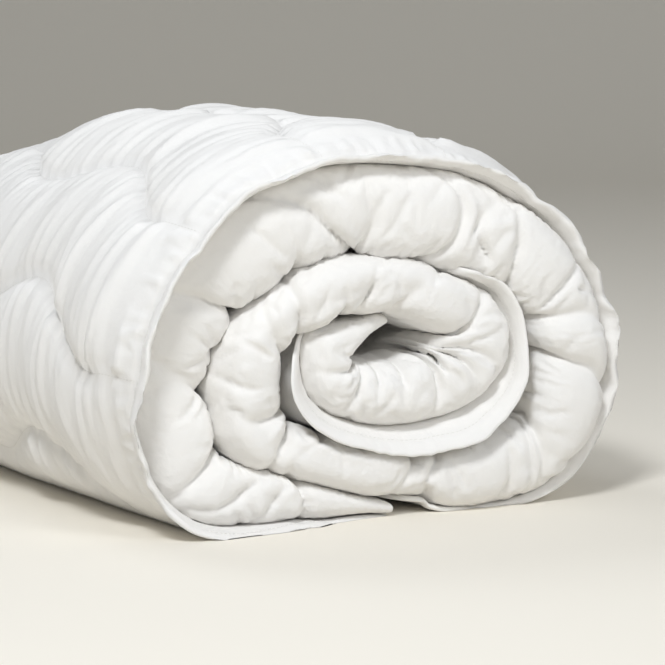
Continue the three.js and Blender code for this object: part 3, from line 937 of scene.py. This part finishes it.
grid = points[:, far_columns]
u = row_u[:, None] + 0 * grid[..., 0]
across = np.linspace(0, 1, len(far_columns))[None] + 0 * u
far_creases = []
for along in np.arange(FAR_CREASE_FIRST, LENGTH - LOOSE_END_PLAIN, FAR_CREASE_SPACING):
    along += wrinkles.uniform(-FAR_CREASE_SHIFT, FAR_CREASE_SHIFT)
    start = wrinkles.uniform(*FAR_CREASE_STARTS)
    stop = wrinkles.uniform(*FAR_CREASE_STOPS)
    to_along = along + wrinkles.uniform(-FAR_CREASE_SLANT, FAR_CREASE_SLANT)
    depth = wrinkles.uniform(*FAR_CREASE_DEPTHS)
    bow = wrinkles.uniform(-FAR_CREASE_BOW, FAR_CREASE_BOW)
    far_creases.append([along, start, to_along, stop, bow, depth, FAR_CREASE_WIDTH])
ends = smooth(*FAR_STARTS, across) * smooth(*FAR_STOPS, across)
ends = ends * smooth(0, FAR_CORE_PLAIN, u) * smooth(0, LOOSE_END_PLAIN, LENGTH - u)
thickness = np.clip(row_at["thick"] / FAR_THICK, FAR_THIN, 1)[:, None]
shape = (FAR_PLUMP - crease_profiles(far_creases, u, across)) * thickness
pushed = grid + outward(grid, STEADY_ROWS) * (shape * ends)[..., None]
pushed[..., 2] = np.maximum(pushed[..., 2], 0)
points[:, far_columns] = pushed

# The cover's mesh: the rows joined column by column. The folds and the hem use every row and the rest every
# third, and where the next wrap covers the outer face it has few columns.
last = len(row_u) - 1
coarse = (np.arange(last + 1) - seam_row) % ROWS_SKIPPED == 0
coarse[[0, last]] = True
kept = coarse[:, None] | fine[None]
kept[:shown_from] &= ~dense_only[None]
index = np.full(kept.shape, -1)
index[kept] = np.arange(kept.sum())
faces = []
few = np.flatnonzero(~dense_only)
many = np.arange(len(columns))


def join_cell(row, next_row, start, stop):
    """The faces between two kept rows and two columns, which may have more rows or columns kept between."""
    left = [r for r in range(row, next_row + 1) if kept[r, start]]
    right = [r for r in range(row, next_row + 1) if kept[r, stop]]
    skipped = [(start + 1 + k) % len(columns) for k in range((stop - start - 1) % len(columns))]
    over = [c for c in skipped if kept[next_row, c]]
    if len(left) == len(right) and not over:
        for a, b in zip(left[:-1], left[1:]):
            faces.append([index[a, start], index[b, start], index[b, stop], index[a, stop]])
        return
    faces.append([index[r, start] for r in left] + [index[next_row, c] for c in over]
                 + [index[r, stop] for r in right[::-1]])


def cut_across(loop):
    """Cuts a loop of points wherever two of them are tied across a layer."""
    for i, first in enumerate(loop):
        tie = columns[first]["tie"]
        for j in range(i + 2, len(loop)):
            if tie and columns[loop[j]]["tie"] == tie and not (i == 0 and j == len(loop) - 1):
                return cut_across(loop[i:j + 1]) + cut_across(loop[:i + 1] + loop[j:])
    return [loop]


kept_rows = np.flatnonzero(coarse)
for row, next_row in zip(kept_rows[:-1], kept_rows[1:]):
    used = few if row < shown_from else many
    for start, stop in zip(used, np.roll(used, -1)):
        join_cell(row, next_row, start, stop)
for piece in cut_across(few.tolist()):
    faces.append([index[0, j] for j in piece])
for piece in cut_across(many.tolist()):
    faces.append([index[-1, j] for j in piece][::-1])

mesh = bpy.data.meshes.new("duvet_cover")
mesh.from_pydata(((points[kept] - ROLL_MIDDLE) * MM).tolist(), [], faces)
mesh.polygons.foreach_set("use_smooth", np.ones(len(mesh.polygons), bool))

# Where each point lies on the flat cloth, for the weave: along the winding and round the section.
across_steps = np.linalg.norm(np.diff(points[shown_from:], axis=1), axis=2).mean(0)
around = np.concatenate([[0], np.cumsum(across_steps)])
cloth = np.stack([U, around[None] + 0 * U, 0 * U], 2)[kept] * MM
mesh.attributes.new("cloth", "FLOAT_VECTOR", "POINT").data.foreach_set("vector", cloth.ravel())
mesh.validate()
mesh.update()
duvet = bpy.data.objects.new("duvet_cover", mesh)
bpy.context.scene.collection.objects.link(duvet)


# The cover's cloth is percale, a close plain weave of fine cotton. Each thread goes over one and under the
# next, which raises a fine check.
def new_group(name, inputs, outputs):
    """An empty node group with named sockets, and its input and output nodes."""
    group = bpy.data.node_groups.new(name, "ShaderNodeTree")
    for socket, kind in inputs:
        group.interface.new_socket(socket, in_out="INPUT", socket_type=kind)
    for socket, kind in outputs:
        group.interface.new_socket(socket, in_out="OUTPUT", socket_type=kind)
    return group, group.nodes.new("NodeGroupInput"), group.nodes.new("NodeGroupOutput")


def link(tree, start, stop):
    tree.links.new(start, stop)


def math_node(tree, operation, first, second=None):
    """A Math node on sockets or plain numbers, and its output socket."""
    node = tree.nodes.new("ShaderNodeMath")
    node.operation = operation
    for socket, value in zip(node.inputs, (first, second)):
        if isinstance(value, bpy.types.NodeSocket):
            link(tree, value, socket)
        elif value is not None:
            socket.default_value = value
    return node.outputs[0]


weave, weave_in, weave_out = new_group(
    "percale_weave",
    [("Cloth", "NodeSocketVector"), ("Thread Pitch", "NodeSocketFloat")],
    [("Height", "NodeSocketFloat")],
)
split = weave.nodes.new("ShaderNodeSeparateXYZ")
link(weave, weave_in.outputs["Cloth"], split.inputs[0])
waves = []
for axis in ("X", "Y"):
    turns = math_node(weave, "DIVIDE", split.outputs[axis], weave_in.outputs["Thread Pitch"])
    waves.append(math_node(weave, "SINE", math_node(weave, "MULTIPLY", turns, math.pi)))
link(weave, math_node(weave, "MULTIPLY", *waves), weave_out.inputs["Height"])

# The cotton has been washed, which leaves it softly uneven: it has small crumples, and a shade that varies
# slightly from place to place.
CRUMPLE_DETAIL = 4
CRUMPLE_ROUGHNESS = 0.55
PATCHES_PER_METRE = 9
PATCH_DETAIL = 3
crumple, crumple_in, crumple_out = new_group(
    "washed_cotton",
    [("Place", "NodeSocketVector"), ("Crumple Size", "NodeSocketFloat")],
    [("Height", "NodeSocketFloat"), ("Shade", "NodeSocketFloat")],
)
crumples = crumple.nodes.new("ShaderNodeTexNoise")
crumples.inputs["Detail"].default_value = CRUMPLE_DETAIL
crumples.inputs["Roughness"].default_value = CRUMPLE_ROUGHNESS
link(crumple, crumple_in.outputs["Place"], crumples.inputs["Vector"])
link(crumple, math_node(crumple, "DIVIDE", 1, crumple_in.outputs["Crumple Size"]), crumples.inputs["Scale"])
link(crumple, crumples.outputs["Fac"], crumple_out.inputs["Height"])
patches = crumple.nodes.new("ShaderNodeTexNoise")
patches.inputs["Scale"].default_value = PATCHES_PER_METRE
patches.inputs["Detail"].default_value = PATCH_DETAIL
link(crumple, crumple_in.outputs["Place"], patches.inputs["Vector"])
link(crumple, patches.outputs["Fac"], crumple_out.inputs["Shade"])

# The cotton is matt with a faint sheen. Its cloth is finely woven, and its thread is a little darker.
COTTON_ROUGHNESS = 0.78
COTTON_SHEEN = 0.12
COTTON_SHEEN_ROUGHNESS = 0.4
COTTON_SPECULAR = 0.3
WEAVE_STRENGTH = 0.5
WEAVE_DEPTH = 0.1


def cotton_material(name, pale, shaded, thread_pitch, crumple_size, crumple_depth):
    """White cotton, with its weave, its crumples and its slightly uneven shade."""
    material = bpy.data.materials.new(name)
    material.use_nodes = True
    tree = material.node_tree
    shader = tree.nodes["Principled BSDF"]
    shader.inputs["Roughness"].default_value = COTTON_ROUGHNESS
    shader.inputs["Sheen Weight"].default_value = COTTON_SHEEN
    shader.inputs["Sheen Roughness"].default_value = COTTON_SHEEN_ROUGHNESS
    shader.inputs["Specular IOR Level"].default_value = COTTON_SPECULAR
    on_cloth = tree.nodes.new("ShaderNodeAttribute")
    on_cloth.attribute_name = "cloth"
    woven = tree.nodes.new("ShaderNodeGroup")
    woven.node_tree = weave
    woven.inputs["Thread Pitch"].default_value = thread_pitch
    link(tree, on_cloth.outputs["Vector"], woven.inputs["Cloth"])
    washed = tree.nodes.new("ShaderNodeGroup")
    washed.node_tree = crumple
    washed.inputs["Crumple Size"].default_value = crumple_size
    link(tree, on_cloth.outputs["Vector"], washed.inputs["Place"])
    shade = tree.nodes.new("ShaderNodeMix")
    shade.data_type = "RGBA"
    shade.inputs["A"].default_value = pale
    shade.inputs["B"].default_value = shaded
    link(tree, washed.outputs["Shade"], shade.inputs["Factor"])
    link(tree, shade.outputs["Result"], shader.inputs["Base Color"])
    crumpled = tree.nodes.new("ShaderNodeBump")
    crumpled.inputs["Strength"].default_value = 1
    crumpled.inputs["Distance"].default_value = crumple_depth
    link(tree, washed.outputs["Height"], crumpled.inputs["Height"])
    threads = tree.nodes.new("ShaderNodeBump")
    threads.inputs["Strength"].default_value = WEAVE_STRENGTH
    threads.inputs["Distance"].default_value = WEAVE_DEPTH * thread_pitch
    link(tree, woven.outputs["Height"], threads.inputs["Height"])
    link(tree, crumpled.outputs["Normal"], threads.inputs["Normal"])
    link(tree, threads.outputs["Normal"], shader.inputs["Normal"])
    return material


mesh.materials.append(cotton_material(
    "cotton_percale", pale=(0.89, 0.872, 0.84, 1), shaded=(0.855, 0.835, 0.80, 1),
    thread_pitch=0.00028, crumple_size=0.012, crumple_depth=0.0009,
))
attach(duvet, "root")
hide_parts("duvet")

# The sewing: cotton thread in short stitches, along each quilting seam and all round the hem. A stitch is
# drawn into the cloth at both its ends, so each is a small bead that lies along its seam.
STITCH_PITCH = 4.2
STITCH_LENGTH = 3.1
THREAD_RADIUS = 0.36
THREAD_LIFT = 0.12
STITCH_RINGS = ((-0.5, 0.15), (-0.3, 0.85), (0, 1), (0.3, 0.85), (0.5, 0.15))
STITCH_SIDES = 6


def stitches_along(path, out):
    """Middles, ways and outward ways of the stitches along a path of points."""
    reach = np.concatenate([[0], np.cumsum(np.linalg.norm(np.diff(path, axis=0), axis=1))])
    places = np.arange(STITCH_PITCH, reach[-1] - STITCH_PITCH, STITCH_PITCH)

    def at(values, where):
        return np.stack([np.interp(where, reach, values[:, k]) for k in range(3)], 1)

    half = STITCH_LENGTH / 2
    middle = (at(path, places - half) + at(path, places + half)) / 2
    way = at(path, places + half) - at(path, places - half)
    return middle, way, at(out, places)


sewn = []
face_out = outward(points[np.ix_(outer_rows, outer_columns)])
for row in np.flatnonzero(on_seam):
    sewn.append(stitches_along(points[outer_rows[row], outer_columns], face_out[row]))
band_out = outward(points[:, hem_columns[0] - 1:hem_columns[-1] + 2])
sewn.append(stitches_along(points[outer_rows, hem_columns[0]], band_out[outer_rows, 1]))
sewn.append(stitches_along(points[:, hem_columns[-1]], band_out[:, -2]))
middle, way, out = (np.concatenate([seam[k] for seam in sewn]) for k in range(3))
out /= np.linalg.norm(out, axis=1, keepdims=True)
beside = np.cross(way, out)
beside /= np.linalg.norm(beside, axis=1, keepdims=True)
middle += THREAD_LIFT * out
angles = np.arange(STITCH_SIDES) / STITCH_SIDES * 2 * math.pi
rings = []
for place, size in STITCH_RINGS:
    centre = (middle + place * way)[:, None]
    round_it = np.cos(angles)[None, :, None] * out[:, None] + np.sin(angles)[None, :, None] * beside[:, None]
    rings.append(centre + THREAD_RADIUS * size * round_it)
thread_points = np.stack(rings, 1).reshape(-1, 3)
thread_points[:, 2] = np.maximum(thread_points[:, 2], 0)
per_stitch = len(STITCH_RINGS) * STITCH_SIDES
thread_faces = []
for first in range(0, len(thread_points), per_stitch):
    for ring in range(len(STITCH_RINGS) - 1):
        for k in range(STITCH_SIDES):
            a = first + ring * STITCH_SIDES + k
            b = first + ring * STITCH_SIDES + (k + 1) % STITCH_SIDES
            thread_faces.append((a, b, b + STITCH_SIDES, a + STITCH_SIDES))
    thread_faces.append(tuple(first + k for k in range(STITCH_SIDES))[::-1])
    thread_faces.append(tuple(first + per_stitch - STITCH_SIDES + k for k in range(STITCH_SIDES)))

thread_mesh = bpy.data.meshes.new("quilting_thread")
thread_mesh.from_pydata(((thread_points - ROLL_MIDDLE) * MM).tolist(), [], thread_faces)
thread_mesh.polygons.foreach_set("use_smooth", np.ones(len(thread_faces), bool))
thread_cloth = (thread_points * MM).ravel()
thread_mesh.attributes.new("cloth", "FLOAT_VECTOR", "POINT").data.foreach_set("vector", thread_cloth)
thread = bpy.data.objects.new("quilting_thread", thread_mesh)
bpy.context.scene.collection.objects.link(thread)
thread_mesh.materials.append(cotton_material(
    "cotton_thread", pale=(0.84, 0.82, 0.78, 1), shaded=(0.78, 0.755, 0.71, 1),
    thread_pitch=0.0002, crumple_size=0.002, crumple_depth=0.0001,
))
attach(thread, "root")

# The setting: a plain pale floor of matt paper that sweeps up into a backdrop, lit by soft panels of cool
# light and a weak light all round.
FLOOR_NEAR = -4.0
FLOOR_HALF_WIDTH = 6
SWEEP_START = 3.0
SWEEP_RADIUS = 1.5
SWEEP_STEPS = 12
BACKDROP_TOP = 5.0
FLOOR_COLOUR = (0.9, 0.85, 0.75, 1)
FLOOR_ROUGHNESS = 0.9
WORLD_COLOUR = (0.92, 0.955, 1.0, 1)
WORLD_STRENGTH = 0.27
LIT_POINT = (0, 0, 0.15)
PANELS = [
    {"name": "key_panel", "at": (-1.25, -1.25, 2.0), "size": 0.5, "power": 35, "colour": (0.925, 0.955, 1)},
    {"name": "front_panel", "at": (0.5, -2.3, 1.3), "size": 0.8, "power": 14, "colour": (0.94, 0.965, 1)},
    {"name": "top_panel", "at": (-0.3, 1.1, 1.9), "size": 0.8, "power": 9, "colour": (0.925, 0.955, 1)},
]

floor_profile = [(FLOOR_NEAR, 0.0), (SWEEP_START, 0.0)]
for step in range(1, SWEEP_STEPS + 1):
    angle = step / SWEEP_STEPS * math.pi / 2
    floor_profile.append((SWEEP_START + SWEEP_RADIUS * math.sin(angle), SWEEP_RADIUS * (1 - math.cos(angle))))
floor_profile.append((SWEEP_START + SWEEP_RADIUS, BACKDROP_TOP))
back = np.array([math.sin(CAMERA_TURN), math.cos(CAMERA_TURN)])
beside = np.array([math.cos(CAMERA_TURN), -math.sin(CAMERA_TURN)])
floor_points = []
for reach, rise in floor_profile:
    for side in (-FLOOR_HALF_WIDTH, FLOOR_HALF_WIDTH):
        floor_points.append((*(back * reach + beside * side), rise))
floor_faces = [(2 * k, 2 * k + 1, 2 * k + 3, 2 * k + 2) for k in range(len(floor_profile) - 1)]
floor_mesh = bpy.data.meshes.new("floor")
floor_mesh.from_pydata(floor_points, [], floor_faces)
floor_mesh.polygons.foreach_set("use_smooth", np.ones(len(floor_faces), bool))
floor = bpy.data.objects.new("floor", floor_mesh)
bpy.context.scene.collection.objects.link(floor)
floor_material = bpy.data.materials.new("floor_paper")
floor_material.use_nodes = True
paper = floor_material.node_tree.nodes["Principled BSDF"]
paper.inputs["Base Color"].default_value = FLOOR_COLOUR
paper.inputs["Roughness"].default_value = FLOOR_ROUGHNESS
floor_mesh.materials.append(floor_material)

world = bpy.data.worlds.new("studio")
world.use_nodes = True
world.node_tree.nodes["Background"].inputs["Color"].default_value = WORLD_COLOUR
world.node_tree.nodes["Background"].inputs["Strength"].default_value = WORLD_STRENGTH
bpy.context.scene.world = world

for panel in PANELS:
    light = bpy.data.lights.new(panel["name"], "AREA")
    light.shape = "SQUARE"
    light.size = panel["size"]
    light.energy = panel["power"]
    light.color = panel["colour"]
    lamp = bpy.data.objects.new(panel["name"], light)
    lamp.location = panel["at"]
    lamp.rotation_mode = "QUATERNION"
    lamp.rotation_quaternion = (Vector(LIT_POINT) - Vector(panel["at"])).to_track_quat("-Z", "Y")
    bpy.context.scene.collection.objects.link(lamp)
bpy.context.scene.view_settings.view_transform = "Standard"
